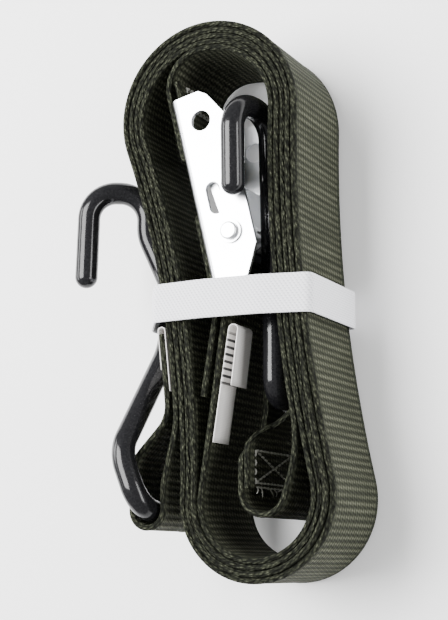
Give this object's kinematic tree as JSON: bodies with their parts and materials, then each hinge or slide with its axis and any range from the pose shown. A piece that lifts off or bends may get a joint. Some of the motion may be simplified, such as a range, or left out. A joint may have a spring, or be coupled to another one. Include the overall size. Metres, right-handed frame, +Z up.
{
  "type": "cam buckle tie-down strap",
  "caption": "Bundled webbing tie-down strap with a sprung cam buckle, coated S-hooks, folded labels and an elastic wrap band.",
  "frame": {"origin": "centre of the footprint of the bundle lying flat, on the surface it lies on", "axes": "+Y along the coil's long side towards the buckle's top, +Z up out of the webbing's near edges, +X away from the free hook"},
  "size_m": [0.0908, 0.175, 0.052],
  "materials": {
    "zinc": "zinc plated, satin",
    "zinc_pin": "zinc plated",
    "spring_steel": "bare",
    "olive_webbing": "woven",
    "hook_steel": "bare",
    "black_vinyl": "gloss",
    "white_elastic": "woven",
    "label_cloth": "printed",
    "grey_thread": "sewn"
  },
  "bodies": {
    "bundle": {"buckle_frame": "zinc", "cam_pin": "zinc_pin", "cam_washer_near": "zinc_pin", "cam_washer_far": "zinc_pin", "cam_spring": "spring_steel", "long_strap": "olive_webbing", "short_strap": "olive_webbing", "wrap_band": "white_elastic", "label_left": "label_cloth", "label_centre": "label_cloth", "eye_stitches": "grey_thread", "hook_end_stitches": "grey_thread", "buckle_end_stitches": "grey_thread", "tail_stitches": "grey_thread"},
    "cam": {"cam_lever": "zinc"},
    "hook_left": {"hook_left_core": "hook_steel", "hook_left_coating": "black_vinyl"},
    "hook_centre": {"hook_centre_core": "hook_steel", "hook_centre_coating": "black_vinyl"}
  },
  "joints": [
    {"name": "cam_press", "type": "hinge", "parent": "bundle", "child": "cam", "pos_m": [0.0138, 0.0182, 0.0228], "axis": [0, 0, 1], "range_deg": [0, 18]},
    {"name": "left_hook_swing", "type": "hinge", "parent": "bundle", "child": "hook_left", "pos_m": [-0.01558, -0.0655, 0.0293], "axis": [0, 0, 1], "range_deg": [0, 2.5], "deforming": ["wrap_band"]},
    {"name": "centre_hook_slide", "type": "slide", "parent": "bundle", "child": "hook_centre", "axis": [0, 1, 0], "range_m": [0, 0.003]}
  ]
}
